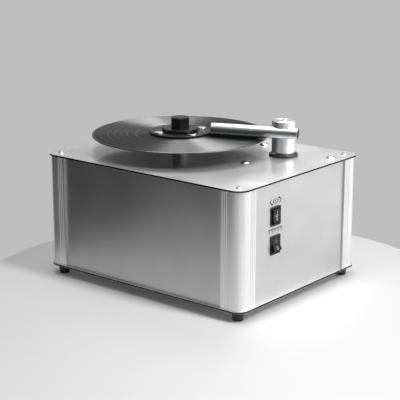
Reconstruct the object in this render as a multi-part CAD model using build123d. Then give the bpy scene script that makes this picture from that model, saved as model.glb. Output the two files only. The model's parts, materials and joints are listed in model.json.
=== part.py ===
"""Record cleaning machine: case, turntable, clamp, suction arm, waste tank and vacuum unit.

Millimetres, +Z up. The origin is the centre of the case on the surface that the feet stand on.
+X is the side with the switches, -Y is the front.
"""
import math
import os

from build123d import *

os.makedirs("parts", exist_ok=True)

edge_tolerance = 0.01

# ---------------------------------------------------------------- case
case_width = 418.0
case_depth = 332.0
plate_thickness = 3.0
plate_corner_radius = 20.0
foot_height = 16.5
foot_top_radius = 9.8
foot_bottom_radius = 8.4
foot_edge_round = 1.2
post_length = 190.0
plate_overhang = 2.5
post_leg = 39.0
post_radius = 17.5
post_block = 24.0
inner_lip = 2.0
panel_thickness = 3.0
panel_recess = 3.0
panel_slot_clearance = 0.15
panel_slot_depth = 9.0
panel_edge_clearance = 0.5
panel_end_clearance = 0.2
groove_count = 3
groove_width = 2.0
groove_depth = 0.6
groove_pitch = 4.1
groove_first = 4.3

# M5 button-head screws that hold the plates and the feet to the posts
corner_screw_inset = 19.5
screw_radius = 2.5
screw_hole_clearance = 0.2
screw_core_clearance = 0.05
screw_head_radius = 4.75
screw_head_height = 2.5
screw_flat_share = 0.6
screw_shoulder_share = 0.35
screw_socket_across = 3.0
screw_socket_depth = 1.4
screw_engagement = 14.0
foot_counterbore_clearance = 0.5
foot_counterbore_depth = 6.0

# ---------------------------------------------------------------- turntable
spindle_x = -48.0
spindle_y = -0.8
spindle_radius = 4.0
spindle_tip_radius = 3.55
spindle_tip_rise = 24.0
spindle_tail = 35.0
running_clearance = 0.05
seat_clearance = 0.01
tower_radius = 13.5
tower_height = 20.0
tower_neck_radius = 10.0
tower_neck_length = 22.0
bush_radius = 7.0
bush_length = 12.0
bush_flange_radius = 10.0
bush_flange_thickness = 1.0
bearing_nut_across = 30.0
bearing_nut_height = 8.0
platter_radius = 50.0
platter_thickness = 5.0
mat_thickness = 1.0
mat_inset = 1.0
mat_bore_clearance = 1.0
record_radius = 150.5
record_thickness = 2.0
record_hole_radius = 3.62
record_edge_round = 0.6
record_band_inner = 60.0
record_band_outer = 146.0
record_band_depth = 0.15
label_radius = 50.0
label_thickness = 0.15

# gear motor that hangs under the bearing
frame_disc_radius = 40.0
frame_disc_thickness = 4.0
frame_drop = 52.0
standoff_count = 3
standoff_radius = 4.0
standoff_circle = 33.0
standoff_first_angle = 90.0
gearbox_radius = 18.5
gearbox_height = 26.0
gearbox_boss_radius = 6.0
gearbox_shaft_radius = 3.0
gearbox_shaft_depth = 18.0
motor_radius = 17.5
motor_height = 57.0
motor_tail_radius = 6.0
motor_tail_height = 4.0
coupling_radius = 9.0
coupling_length = 24.0
coupling_gap = 2.0

# ---------------------------------------------------------------- record clamp
clamp_radius = 52.8
clamp_ring_height = 3.0
clamp_tier_radius = 31.0
clamp_tier_height = 5.0
clamp_edge_round = 0.8
seal_height = 2.0
seal_width = 4.0
seal_inset = 0.5
stud_count = 4
stud_radius = 8.0
stud_circle = 41.0
stud_first_angle = 68.0
stud_rise = 1.2
stud_pocket_depth = 1.6
stud_edge_round = 0.4
knob_across_flats = 30.4
knob_height = 18.7
knob_vertex_angle = -50.0
knob_chamfer = 2.4
knob_roof = 5.0

# ---------------------------------------------------------------- suction arm
column_record_gap = 8.7
column_heading = 25.06
column_radius = 20.0
column_height = 53.0
column_gap = 7.0
column_edge_round = 0.8
column_roof = 7.0
cap_radius = 14.0
cap_thickness = 4.0
cap_screw_radius = 3.0
cap_screw_height = 2.2
cap_screw_shank = 1.5
cap_screw_length = 6.5
guide_radius = 14.0
guide_flange_radius = 19.3
guide_flange_height = 3.0
guide_rise = 5.2
guide_length = 50.0
guide_nut_across = 36.0
guide_nut_height = 8.0
ring_radius = 24.5
ring_height = 4.5
ring_round = 1.8
ring_clearance = 0.2
sleeve_radius = 11.0
sleeve_wall = 2.0
sleeve_engagement = 10.0
sleeve_length = 66.0
collar_radius = 13.5
collar_height = 1.5
tube_radius = 10.0
tube_wall = 1.5
tube_offset = 14.0
tube_height = 41.0
tube_clamp_gap = 4.8
tube_back = 28.0
tube_seat_clearance = 0.03
tube_slot_width = 3.0
tube_slot_start = 32.0
tube_slot_margin = 6.0
tube_port_radius = 4.0
tube_port_reach = 12.0
plug_depth = 6.0
plug_recess = 0.4
strip_width = 3.0
strip_gap = 4.0
strip_clearance = 0.3
strip_start = 30.0
strip_margin = 4.0
strip_bite = 2.0

# ---------------------------------------------------------------- waste tank under the arm
tank_side_gap = 14.5
tank_rear_gap = 5.5
tank_radius = 73.0
tank_wall = 3.0
tank_floor = 4.0
tank_depth = 138.0
tank_rim_width = 5.0
tank_rim_height = 6.0
gasket_thickness = 2.0
lid_thickness = 6.0
# each bolt's heading about the tank's axis in degrees, and how far it stands beyond the rim
bolt_headings_and_reaches = [(24.5, 8.8), (145.5, 3.3), (261.7, 4.9)]
bolt_radius = 3.0
bolt_hole_clearance = 0.2
bolt_head_radius = 8.25
bolt_head_height = 3.8
bolt_ear_radius = 8.5
bolt_nut_across = 10.0
bolt_nut_height = 5.0
bolt_tail = 1.5

# drain at the foot of the tank, out through the rear panel
drain_height = 11.0
drain_radius = 6.0
drain_wall = 2.0
drain_flange_radius = 11.0
drain_flange_thickness = 1.5
drain_tip = 4.0
drain_inside = 4.0
drain_cap_radius = 8.5
drain_cap_roof = 1.4
drain_clearance = 0.1

# ---------------------------------------------------------------- vacuum unit
vacuum_side_gap = 10.5
vacuum_front_gap = 7.5
mount_ring_height = 6.0
mount_ring_wall = 14.0
vacuum_motor_radius = 45.0
vacuum_motor_height = 70.0
vacuum_shaft_radius = 4.0
vacuum_shaft_depth = 28.0
fan_housing_radius = 72.0
fan_housing_height = 40.0
fan_wall = 2.0
fan_inlet_radius = 14.8
fan_inlet_wall = 2.8
fan_inlet_height = 9.0
fan_window_count = 8
fan_window_width = 22.0
fan_window_height = 9.0
impeller_radius = 64.0
impeller_disc = 1.5
impeller_vane_height = 14.0
impeller_vane_count = 9
impeller_vane_thickness = 1.5
impeller_hub_radius = 10.0
impeller_eye_radius = 20.0
impeller_lift = 8.0
impeller_vane_sweep = 35.0
hose_wall = 3.0
hose_clearance = 0.2
hose_overlap = 7.0
hose_below_plate = 34.0
hose_bend_side = 48.0
hose_bend_down = 26.0

# ---------------------------------------------------------------- electrics
switch_y = -69.8
motor_switch_z = 154.5
vacuum_switch_z = 107.5
bezel_width = 25.5
bezel_height = 31.0
bezel_thickness = 1.5
bezel_round = 1.5
switch_body_width = 21.8
switch_body_height = 28.0
switch_body_depth = 24.0
switch_hole_clearance = 0.1
rocker_width = 18.6
rocker_side_clearance = 0.3
rocker_reach = 12.4
rocker_end_rise = 3.0
rocker_middle_rise = 1.2
rocker_pivot_depth = 4.0
rocker_end_clearance = 0.35
rocker_heel = 4.0
rocker_pin_radius = 1.5
rocker_pin_length = 1.0
rocker_pin_clearance = 0.08
rocker_edge_round = 0.5
motor_rocker_tilt = 11.0
vacuum_rocker_tilt = 16.0
inlet_post_gap = 12.5
inlet_z = 65.5
inlet_flange_width = 50.0
inlet_flange_height = 28.0
inlet_flange_thickness = 3.0
inlet_body_width = 28.0
inlet_body_height = 21.0
inlet_body_depth = 24.0
inlet_socket_width = 24.0
inlet_socket_height = 16.5
inlet_socket_depth = 17.0
inlet_pin_width = 4.0
inlet_pin_thickness = 2.0
inlet_pin_length = 12.0
inlet_pin_spacing = 7.0
inlet_screw_spacing = 40.0
inlet_screw_radius = 1.5
inlet_screw_head = 2.8
inlet_screw_head_height = 1.6
inlet_screw_length = 9.0
vent_count = 7
vent_length = 70.0
vent_width = 4.0
vent_pitch = 9.0
vent_x = -40.0
vent_z = 63.5

# ---------------------------------------------------------------- derived levels and faces
bottom_plate_low = foot_height
bottom_plate_top = bottom_plate_low + plate_thickness
top_plate_low = bottom_plate_top + post_length
deck = top_plate_low + plate_thickness
post_face_x = case_width / 2 - plate_overhang
post_face_y = case_depth / 2 - plate_overhang
panel_face_x = post_face_x - panel_recess
panel_face_y = post_face_y - panel_recess
post_wall = panel_recess + panel_thickness + panel_slot_clearance + inner_lip
corner_x = case_width / 2 - corner_screw_inset
corner_y = case_depth / 2 - corner_screw_inset
corners = [(corner_x * sx, corner_y * sy) for sx in (1, -1) for sy in (-1, 1)]
tower_top = deck + tower_height
platter_low = tower_top + bush_flange_thickness
platter_top = platter_low + platter_thickness
record_low = platter_top + mat_thickness
record_top = record_low + record_thickness
seal_top = record_top + seal_height
clamp_ring_top = seal_top + clamp_ring_height
clamp_tier_top = clamp_ring_top + clamp_tier_height
spindle_tip_top = record_top + spindle_tip_rise
spindle_bottom = top_plate_low - spindle_tail
frame_low = top_plate_low - frame_disc_thickness
motor_plate_low = frame_low - frame_drop
gearbox_low = motor_plate_low - gearbox_height
column_low = deck + column_gap
column_top = column_low + column_height
guide_top = deck + guide_rise
tube_axis_z = deck + tube_height
tank_top = top_plate_low - lid_thickness - gasket_thickness
tank_rim_radius = tank_radius + tank_rim_width
tank_low = tank_top - tank_depth
rim_low = tank_top - tank_rim_height
drain_z = tank_low + drain_height
motor_low = bottom_plate_top + mount_ring_height
fan_low = motor_low + vacuum_motor_height
fan_top = fan_low + fan_housing_height
hose_z = top_plate_low - hose_below_plate
bezel_face = panel_face_x + bezel_thickness
panel_back_x = panel_face_x - panel_thickness
panel_back_y = panel_face_y - panel_thickness
tank_x = panel_back_x - tank_side_gap - tank_rim_radius
tank_y = panel_back_y - tank_rear_gap - tank_rim_radius
bolt_points = [
    (tank_x + (tank_rim_radius + reach) * math.cos(math.radians(heading)),
     tank_y + (tank_rim_radius + reach) * math.sin(math.radians(heading)))
    for heading, reach in bolt_headings_and_reaches
]
vacuum_x = vacuum_side_gap + fan_housing_radius - panel_back_x
vacuum_y = vacuum_front_gap + fan_housing_radius - panel_back_y
inlet_x = post_leg + inlet_post_gap + inlet_flange_width / 2 - post_face_x
column_distance = record_radius + column_record_gap + column_radius
column_x = spindle_x + column_distance * math.cos(math.radians(column_heading))
column_y = spindle_y + column_distance * math.sin(math.radians(column_heading))
tube_angle = 180 + column_heading - math.degrees(math.asin(tube_offset / column_distance))
tube_reach = math.sqrt(column_distance ** 2 - tube_offset ** 2) - clamp_radius - tube_clamp_gap
tube_slot_end = tube_reach - tube_slot_margin
strip_end = tube_reach - strip_margin
rocker_pivot_x = bezel_face - rocker_pivot_depth


# ---------------------------------------------------------------- shape helpers
def rod(x, y, low, high, radius):
    """A vertical cylinder between two heights."""
    return Pos(x, y, (low + high) / 2) * Cylinder(radius, high - low)


def pipe(x, y, low, high, outer, inner):
    """A vertical tube between two heights."""
    return rod(x, y, low, high, outer) - rod(x, y, low, high, inner)


def block(x_range, y_range, z_range):
    """A box between two values on each axis."""
    spans = (x_range, y_range, z_range)
    centre = [sum(span) / 2 for span in spans]
    size = [span[1] - span[0] for span in spans]
    return Pos(*centre) * Box(*size)


def hexagon(x, y, low, high, across_flats, vertex_angle=0.0):
    """A vertical hexagonal prism of the given width across flats."""
    corner_radius = across_flats / math.sqrt(3)
    outline = Pos(x, y, low) * Rot(0, 0, vertex_angle) * RegularPolygon(corner_radius, 6)
    return extrude(outline, high - low)


def turned(x, y, profile):
    """A body of revolution about a vertical axis from (radius, height) points."""
    outline = Plane.XZ * make_face(Polyline(*profile, close=True))
    return Pos(x, y, 0) * revolve(outline, Axis.Z)


def around(x, y, radius, count, first_angle=0.0):
    """Evenly spaced points on a circle."""
    angles = [math.radians(first_angle + 360 * step / count) for step in range(count)]
    return [(x + radius * math.cos(angle), y + radius * math.sin(angle)) for angle in angles]


def circle_edges(solid, height, radius):
    """Circular edges of one radius that lie flat at one height."""
    edges = solid.edges().filter_by(GeomType.CIRCLE)
    return [edge for edge in edges
            if abs(edge.center().Z - height) < edge_tolerance and abs(edge.radius - radius) < edge_tolerance]


def save(name, shape):
    """Write one named sub-part."""
    shape.label = name
    export_step(shape, f"parts/{name}.step")


# ---------------------------------------------------------------- case
def plate(low):
    """A rounded case plate with its four corner screw holes."""
    outline = RectangleRounded(case_width, case_depth, plate_corner_radius)
    body = extrude(Pos(0, 0, low) * outline, plate_thickness)
    for x, y in corners:
        body -= rod(x, y, low, low + plate_thickness, screw_radius + screw_hole_clearance)
    return body


def top_plate():
    """The deck, with holes for the bearing, the arm guide and the tank bolts."""
    body = plate(top_plate_low)
    body -= rod(spindle_x, spindle_y, top_plate_low, deck, tower_neck_radius + seat_clearance)
    body -= rod(column_x, column_y, top_plate_low, deck, guide_radius + seat_clearance)
    for x, y in bolt_points:
        body -= rod(x, y, top_plate_low, deck, bolt_radius + bolt_hole_clearance)
    return body


def corner_post(side_x, side_y):
    """One extruded corner: a rounded L with panel slots, a screw core and shallow grooves."""
    square = Pos(post_face_x - post_leg / 2, post_face_y - post_leg / 2) * Rectangle(post_leg, post_leg)
    outer_corner = square.vertices().sort_by(lambda v: v.X + v.Y)[-1]
    outline = fillet(outer_corner, post_radius)
    inside = post_leg - post_wall
    notch_x = post_face_x - post_leg + inside / 2
    notch_y = post_face_y - post_leg + inside / 2
    section = outline - Pos(notch_x, notch_y) * Rectangle(inside, inside)
    core = Pos(post_face_x - post_block / 2, post_face_y - post_block / 2) * Rectangle(post_block, post_block)
    section += core & outline
    slot_width = panel_thickness + 2 * panel_slot_clearance
    slot_u = post_leg - panel_slot_depth / 2
    slot_v = panel_recess + panel_thickness / 2
    section -= Pos(post_face_x - slot_u, post_face_y - slot_v) * Rectangle(panel_slot_depth, slot_width)
    section -= Pos(post_face_x - slot_v, post_face_y - slot_u) * Rectangle(slot_width, panel_slot_depth)
    groove_radius = ((groove_width / 2) ** 2 + groove_depth ** 2) / (2 * groove_depth)
    groove_out = groove_radius - groove_depth
    for step in range(groove_count):
        along = post_leg - groove_first - step * groove_pitch
        section -= Pos(post_face_x - along, post_face_y + groove_out) * Circle(groove_radius)
        section -= Pos(post_face_x + groove_out, post_face_y - along) * Circle(groove_radius)
    section -= Pos(corner_x, corner_y) * Circle(screw_radius + screw_core_clearance)
    body = extrude(Pos(0, 0, bottom_plate_top) * section, post_length)
    if side_x < 0:
        body = mirror(body, about=Plane.YZ)
    if side_y < 0:
        body = mirror(body, about=Plane.XZ)
    return body


def wall_panel(half_span, face, along_x):
    """A flat panel between two posts, built on the positive side."""
    reach = half_span - post_leg + panel_slot_depth - panel_edge_clearance
    heights = (bottom_plate_top + panel_end_clearance, top_plate_low - panel_end_clearance)
    thickness = (face - panel_thickness, face)
    if along_x:
        return block((-reach, reach), thickness, heights)
    return block(thickness, (-reach, reach), heights)


def front_panel():
    """The plain front panel."""
    return mirror(wall_panel(post_face_x, panel_face_y, True), about=Plane.XZ)


def left_panel():
    """The plain left panel."""
    return mirror(wall_panel(post_face_y, panel_face_x, False), about=Plane.YZ)


def right_panel():
    """The right panel with the two switch openings."""
    body = wall_panel(post_face_y, panel_face_x, False)
    half_width = switch_body_width / 2 + switch_hole_clearance
    half_height = switch_body_height / 2 + switch_hole_clearance
    for z in (motor_switch_z, vacuum_switch_z):
        body -= block((panel_face_x - panel_thickness, panel_face_x),
                      (switch_y - half_width, switch_y + half_width),
                      (z - half_height, z + half_height))
    return body


def rear_panel():
    """The rear panel with air slots, the mains inlet opening and the drain hole."""
    body = wall_panel(post_face_x, panel_face_y, True)
    through = (panel_face_y - panel_thickness, panel_face_y)
    for step in range(vent_count):
        z = vent_z + (step - (vent_count - 1) / 2) * vent_pitch
        outline = Plane.XZ * Pos(vent_x, z) * SlotOverall(vent_length, vent_width)
        body -= Pos(0, panel_face_y, 0) * extrude(outline, panel_thickness)
    half_width = inlet_body_width / 2 + switch_hole_clearance
    half_height = inlet_body_height / 2 + switch_hole_clearance
    body -= block((inlet_x - half_width, inlet_x + half_width), through,
                  (inlet_z - half_height, inlet_z + half_height))
    for side in (-1, 1):
        x = inlet_x + side * inlet_screw_spacing / 2
        body -= cross_rod(x, inlet_z, through[0], through[1], inlet_screw_radius + seat_clearance)
    body -= cross_rod(tank_x, drain_z, through[0], through[1], drain_radius + drain_clearance)
    return body


def cross_rod(x, z, front, back, radius):
    """A cylinder along Y between two depths."""
    return Pos(x, (front + back) / 2, z) * Rot(90, 0, 0) * Cylinder(radius, back - front)


def rubber_feet():
    """Four tapered rubber feet with a counterbore for their screws."""
    feet = []
    for x, y in corners:
        foot = turned(x, y, [
            (0, 0), (foot_bottom_radius, 0), (foot_top_radius, foot_height), (0, foot_height)])
        foot = fillet(circle_edges(foot, 0, foot_bottom_radius), foot_edge_round)
        foot -= rod(x, y, 0, foot_counterbore_depth, screw_head_radius + foot_counterbore_clearance)
        foot -= rod(x, y, 0, foot_height, screw_radius + screw_hole_clearance)
        feet.append(foot)
    return Compound(children=feet)


def button_screw(x, y, seat, direction, shank_length):
    """A button-head screw; direction is +1 when the head is above its seat."""
    rise = screw_head_height * direction
    flat = screw_head_radius * screw_flat_share
    shoulder = screw_head_height * screw_shoulder_share * direction
    head = turned(x, y, [(0, seat), (screw_head_radius, seat), (screw_head_radius, seat + shoulder),
                         (flat, seat + rise), (0, seat + rise)])
    tail = seat - direction * shank_length
    body = head + rod(x, y, min(seat, tail), max(seat, tail), screw_radius)
    socket = sorted((seat + rise, seat + rise - direction * screw_socket_depth))
    return body - hexagon(x, y, socket[0], socket[1], screw_socket_across)


def top_corner_screws():
    """Four screws that hold the deck to the posts."""
    length = plate_thickness + screw_engagement
    return Compound(children=[button_screw(x, y, deck, 1, length) for x, y in corners])


def foot_screws():
    """Four screws up through the feet and the bottom plate into the posts."""
    length = foot_height - foot_counterbore_depth + plate_thickness + screw_engagement
    return Compound(children=[button_screw(x, y, foot_counterbore_depth, -1, length) for x, y in corners])


# ---------------------------------------------------------------- turntable
def bearing_tower():
    """The turned tower on the deck with a threaded neck through it."""
    body = turned(spindle_x, spindle_y, [
        (0, top_plate_low - tower_neck_length), (tower_neck_radius, top_plate_low - tower_neck_length),
        (tower_neck_radius, deck), (tower_radius, deck), (tower_radius, tower_top), (0, tower_top)])
    bore = bush_radius + seat_clearance
    return body - rod(spindle_x, spindle_y, top_plate_low - tower_neck_length, tower_top, bore)


def bearing_bushes():
    """A flanged upper bush that carries the platter and a plain lower bush."""
    inner = spindle_radius + running_clearance
    upper = rod(spindle_x, spindle_y, tower_top - bush_length, tower_top, bush_radius)
    upper += rod(spindle_x, spindle_y, tower_top, platter_low, bush_flange_radius)
    upper -= rod(spindle_x, spindle_y, tower_top - bush_length, platter_low, inner)
    low = top_plate_low - tower_neck_length
    return Compound(children=[upper, pipe(spindle_x, spindle_y, low, low + bush_length, bush_radius, inner)])


def bearing_nut():
    """The nut that clamps the tower and the motor frame to the deck."""
    low = frame_low - bearing_nut_height
    body = hexagon(spindle_x, spindle_y, low, frame_low, bearing_nut_across)
    return body - rod(spindle_x, spindle_y, low, frame_low, tower_neck_radius + seat_clearance)


def motor_top_disc():
    """The disc under the deck that carries the standoffs."""
    return pipe(spindle_x, spindle_y, frame_low, top_plate_low, frame_disc_radius,
                tower_neck_radius + seat_clearance)


def motor_standoffs():
    """Round standoffs between the two discs of the motor frame."""
    low = motor_plate_low + frame_disc_thickness
    posts = around(spindle_x, spindle_y, standoff_circle, standoff_count, standoff_first_angle)
    return Compound(children=[rod(x, y, low, frame_low, standoff_radius) for x, y in posts])


def motor_plate():
    """The lower disc of the motor frame, with the gearbox boss through it."""
    top = motor_plate_low + frame_disc_thickness
    return pipe(spindle_x, spindle_y, motor_plate_low, top, frame_disc_radius,
                gearbox_boss_radius + seat_clearance)


def platter_gearbox():
    """The gearbox case with a boss that centres it in the motor plate."""
    body = rod(spindle_x, spindle_y, gearbox_low, motor_plate_low, gearbox_radius)
    body += rod(spindle_x, spindle_y, motor_plate_low, motor_plate_low + frame_disc_thickness,
                gearbox_boss_radius)
    bore_low = motor_plate_low - gearbox_shaft_depth
    return body - rod(spindle_x, spindle_y, bore_low, motor_plate_low + frame_disc_thickness,
                      gearbox_shaft_radius + running_clearance)


def platter_motor():
    """The motor can below the gearbox with its rear bearing boss."""
    low = gearbox_low - motor_height
    body = rod(spindle_x, spindle_y, low, gearbox_low, motor_radius)
    return body + rod(spindle_x, spindle_y, low - motor_tail_height, low, motor_tail_radius)


def gearbox_shaft():
    """The gearbox's output shaft."""
    top = spindle_bottom - coupling_gap
    return rod(spindle_x, spindle_y, motor_plate_low - gearbox_shaft_depth, top, gearbox_shaft_radius)


def shaft_coupling():
    """The rigid coupling between the gearbox shaft and the spindle."""
    middle = spindle_bottom - coupling_gap / 2
    low = middle - coupling_length / 2
    high = middle + coupling_length / 2
    body = rod(spindle_x, spindle_y, low, high, coupling_radius)
    body -= rod(spindle_x, spindle_y, low, middle, gearbox_shaft_radius + seat_clearance)
    return body - rod(spindle_x, spindle_y, middle, high, spindle_radius + seat_clearance)


def spindle():
    """The spindle: a bearing journal below and a record pin above."""
    body = rod(spindle_x, spindle_y, spindle_bottom, platter_top, spindle_radius)
    body += rod(spindle_x, spindle_y, platter_top, spindle_tip_top, spindle_tip_radius)
    tip_edge = circle_edges(body, spindle_tip_top, spindle_tip_radius)
    return fillet(tip_edge, spindle_tip_radius / 2)


def label_platter():
    """The label-sized platter on the spindle."""
    return pipe(spindle_x, spindle_y, platter_low, platter_top, platter_radius,
                spindle_radius + seat_clearance)


def platter_mat():
    """The thin rubber mat under the record."""
    return pipe(spindle_x, spindle_y, platter_top, record_low, platter_radius - mat_inset,
                spindle_radius + mat_bore_clearance)


def vinyl_record():
    """A 12-inch record with recessed groove bands and recesses for its labels."""
    body = rod(spindle_x, spindle_y, record_low, record_top, record_radius)
    rims = circle_edges(body, record_low, record_radius) + circle_edges(body, record_top, record_radius)
    body = fillet(rims, record_edge_round)
    lower_band = (record_low, record_low + record_band_depth)
    upper_band = (record_top - record_band_depth, record_top)
    for low, high in (lower_band, upper_band):
        body -= pipe(spindle_x, spindle_y, low, high, record_band_outer, record_band_inner)
    for low, high in ((record_low, record_low + label_thickness), (record_top - label_thickness, record_top)):
        body -= rod(spindle_x, spindle_y, low, high, label_radius + seat_clearance)
    return body - rod(spindle_x, spindle_y, record_low, record_top, record_hole_radius)


def record_labels():
    """The two paper labels in their recesses."""
    low = pipe(spindle_x, spindle_y, record_low, record_low + label_thickness,
               label_radius, record_hole_radius)
    high = pipe(spindle_x, spindle_y, record_top - label_thickness, record_top,
                label_radius, record_hole_radius)
    return Compound(children=[low, high])


# ---------------------------------------------------------------- record clamp
def clamp_disc():
    """The stepped clamp disc with pockets for the four bright studs."""
    body = turned(spindle_x, spindle_y, [
        (0, seal_top), (clamp_radius, seal_top), (clamp_radius, clamp_ring_top),
        (clamp_tier_radius, clamp_ring_top), (clamp_tier_radius, clamp_tier_top), (0, clamp_tier_top)])
    edges = circle_edges(body, clamp_ring_top, clamp_radius)
    edges += circle_edges(body, clamp_tier_top, clamp_tier_radius)
    body = fillet(edges, clamp_edge_round)
    for x, y in around(spindle_x, spindle_y, stud_circle, stud_count, stud_first_angle):
        body -= rod(x, y, clamp_ring_top - stud_pocket_depth, clamp_ring_top, stud_radius + seat_clearance)
    return body - rod(spindle_x, spindle_y, seal_top, clamp_tier_top, spindle_tip_radius + running_clearance)


def clamp_studs():
    """Four polished studs set in the clamp disc."""
    studs = []
    for x, y in around(spindle_x, spindle_y, stud_circle, stud_count, stud_first_angle):
        top = clamp_ring_top + stud_rise
        stud = rod(x, y, clamp_ring_top - stud_pocket_depth, top, stud_radius)
        studs.append(fillet(circle_edges(stud, top, stud_radius), stud_edge_round))
    return Compound(children=studs)


def clamp_seal():
    """The soft ring between the clamp disc and the record's label edge."""
    outer = clamp_radius - seal_inset
    return pipe(spindle_x, spindle_y, record_top, seal_top, outer, outer - seal_width)


def clamp_knob():
    """The hexagonal knob with a chamfered top and a blind bore for the spindle."""
    top = clamp_tier_top + knob_height
    body = hexagon(spindle_x, spindle_y, clamp_tier_top, top, knob_across_flats, knob_vertex_angle)
    corner = knob_across_flats / math.sqrt(3)
    cone = turned(spindle_x, spindle_y, [
        (0, clamp_tier_top), (corner, clamp_tier_top), (corner, top - knob_chamfer / 2),
        (corner - 2 * knob_chamfer, top), (0, top)])
    body = body & cone
    bore_top = max(spindle_tip_top + running_clearance, top - knob_roof)
    return body - rod(spindle_x, spindle_y, clamp_tier_top, bore_top, spindle_tip_radius + running_clearance)


# ---------------------------------------------------------------- suction arm
tube_direction = Vector(math.cos(math.radians(tube_angle)), math.sin(math.radians(tube_angle)), 0)
tube_side = Vector(-tube_direction.Y, tube_direction.X, 0)
tube_foot = Vector(column_x, column_y, tube_axis_z) + tube_side * tube_offset


def along_tube(start, end, radius):
    """A cylinder on the tube's axis between two distances from the column."""
    middle = tube_foot + tube_direction * ((start + end) / 2)
    return Pos(middle) * Rot(0, 0, tube_angle) * Rot(0, 90, 0) * Cylinder(radius, end - start)


def beside_tube(start, end, offset, width, low, high):
    """A box along the tube, offset sideways from its axis."""
    middle = tube_foot + tube_direction * ((start + end) / 2) + tube_side * offset
    centre = Vector(middle.X, middle.Y, (low + high) / 2)
    return Location(centre, (0, 0, tube_angle)) * Box(end - start, width, high - low)


def column_guide():
    """The guide tube through the deck and the tank lid, with its flange."""
    low = top_plate_low - guide_length
    body = rod(column_x, column_y, low, guide_top, guide_radius)
    body += rod(column_x, column_y, deck, deck + guide_flange_height, guide_flange_radius)
    return body - rod(column_x, column_y, low, guide_top, sleeve_radius + running_clearance)


def guide_nut():
    """The nut that clamps the guide and the tank lid to the deck."""
    high = top_plate_low - lid_thickness
    low = high - guide_nut_height
    body = hexagon(column_x, column_y, low, high, guide_nut_across)
    return body - rod(column_x, column_y, low, high, guide_radius + seat_clearance)


def base_ring():
    """The rounded rubber ring around the foot of the column."""
    inner = guide_flange_radius + ring_clearance
    body = pipe(column_x, column_y, deck, deck + ring_height, ring_radius, inner)
    return fillet(circle_edges(body, deck + ring_height, ring_radius), ring_round)


def lift_sleeve():
    """The sliding air sleeve; its collar rests on the guide."""
    high = column_low + sleeve_engagement
    body = rod(column_x, column_y, high - sleeve_length, high, sleeve_radius)
    body += rod(column_x, column_y, guide_top, guide_top + collar_height, collar_radius)
    return body - rod(column_x, column_y, high - sleeve_length, high, sleeve_radius - sleeve_wall)


def arm_column():
    """The hollow column that carries the tube in a side groove and turns on the sleeve."""
    body = rod(column_x, column_y, column_low, column_top, column_radius)
    rims = circle_edges(body, column_low, column_radius) + circle_edges(body, column_top, column_radius)
    body = fillet(rims, column_edge_round)
    body -= rod(column_x, column_y, column_low, column_low + sleeve_engagement,
                sleeve_radius + running_clearance)
    body -= rod(column_x, column_y, column_low, column_top - column_roof, sleeve_radius - sleeve_wall)
    body -= rod(column_x, column_y, column_top - cap_thickness, column_top, cap_radius + seat_clearance)
    body -= rod(column_x, column_y, column_top - column_roof, column_top, cap_screw_shank + seat_clearance)
    return body - along_tube(-2 * column_radius, 2 * column_radius, tube_radius + tube_seat_clearance)


def column_cap():
    """The flush disc that closes the column."""
    return pipe(column_x, column_y, column_top - cap_thickness, column_top, cap_radius,
                cap_screw_shank + seat_clearance)


def cap_screw():
    """The small screw in the middle of the cap."""
    top = column_top + cap_screw_height
    body = rod(column_x, column_y, column_top, top, cap_screw_radius)
    body = fillet(circle_edges(body, top, cap_screw_radius), cap_screw_height / 2)
    return body + rod(column_x, column_y, column_top - cap_screw_length, column_top, cap_screw_shank)


def suction_tube():
    """The suction tube with its slot below and its port into the column."""
    body = along_tube(-tube_back, tube_reach, tube_radius)
    body -= along_tube(-tube_back, tube_reach, tube_radius - tube_wall)
    body -= beside_tube(tube_slot_start, tube_slot_end, 0, tube_slot_width,
                        tube_axis_z - tube_radius, tube_axis_z)
    port = Pos(tube_foot - tube_side * (tube_radius / 2)) * Rot(0, 0, tube_angle + 90) * Rot(0, 90, 0)
    return body - port * Cylinder(tube_port_radius, tube_port_reach)


def tube_end_plugs():
    """The two plugs in the ends of the tube."""
    radius = tube_radius - tube_wall - seat_clearance
    near = along_tube(-tube_back + plug_recess, -tube_back + plug_depth, radius)
    far = along_tube(tube_reach - plug_depth, tube_reach - plug_recess, radius)
    return Compound(children=[near, far])


def velvet_strips():
    """Two soft strips on either side of the slot, just clear of the record."""
    low = record_top + strip_clearance
    strips = []
    for side in (-1, 1):
        offset = side * (strip_gap + strip_width) / 2
        strip = beside_tube(strip_start, strip_end, offset, strip_width,
                            low, tube_axis_z - tube_radius + strip_bite)
        strips.append(strip - along_tube(-tube_back, tube_reach, tube_radius + seat_clearance))
    return Compound(children=strips)


# ---------------------------------------------------------------- waste tank
def eared_disc(low, high, radius):
    """A round flange with an ear at each bolt."""
    body = rod(tank_x, tank_y, low, high, radius)
    for x, y in bolt_points:
        distance = math.hypot(x - tank_x, y - tank_y)
        heading = math.degrees(math.atan2(y - tank_y, x - tank_x))
        middle = Location(((x + tank_x) / 2, (y + tank_y) / 2, (low + high) / 2), (0, 0, heading))
        body += middle * Box(distance, 2 * bolt_ear_radius, high - low)
        body += rod(x, y, low, high, bolt_ear_radius)
    for x, y in bolt_points:
        body -= rod(x, y, low, high, bolt_radius + bolt_hole_clearance)
    return body


def waste_tank():
    """The round tank with its bolted rim and the air outlet towards the vacuum unit."""
    body = eared_disc(rim_low, tank_top, tank_rim_radius)
    body += rod(tank_x, tank_y, tank_low, tank_top, tank_radius)
    nipple_end = tank_x - tank_radius - hose_overlap
    nipple = Location(((nipple_end + tank_x) / 2, tank_y, hose_z), (0, 90, 0))
    body += nipple * Cylinder(fan_inlet_radius, tank_x - nipple_end)
    body -= rod(tank_x, tank_y, tank_low + tank_floor, tank_top, tank_radius - tank_wall)
    body -= nipple * Cylinder(fan_inlet_radius - fan_inlet_wall, tank_x - nipple_end)
    wall = (tank_y + tank_radius - 2 * tank_wall, tank_y + tank_radius)
    return body - cross_rod(tank_x, drain_z, wall[0], wall[1], drain_radius + seat_clearance)


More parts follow.
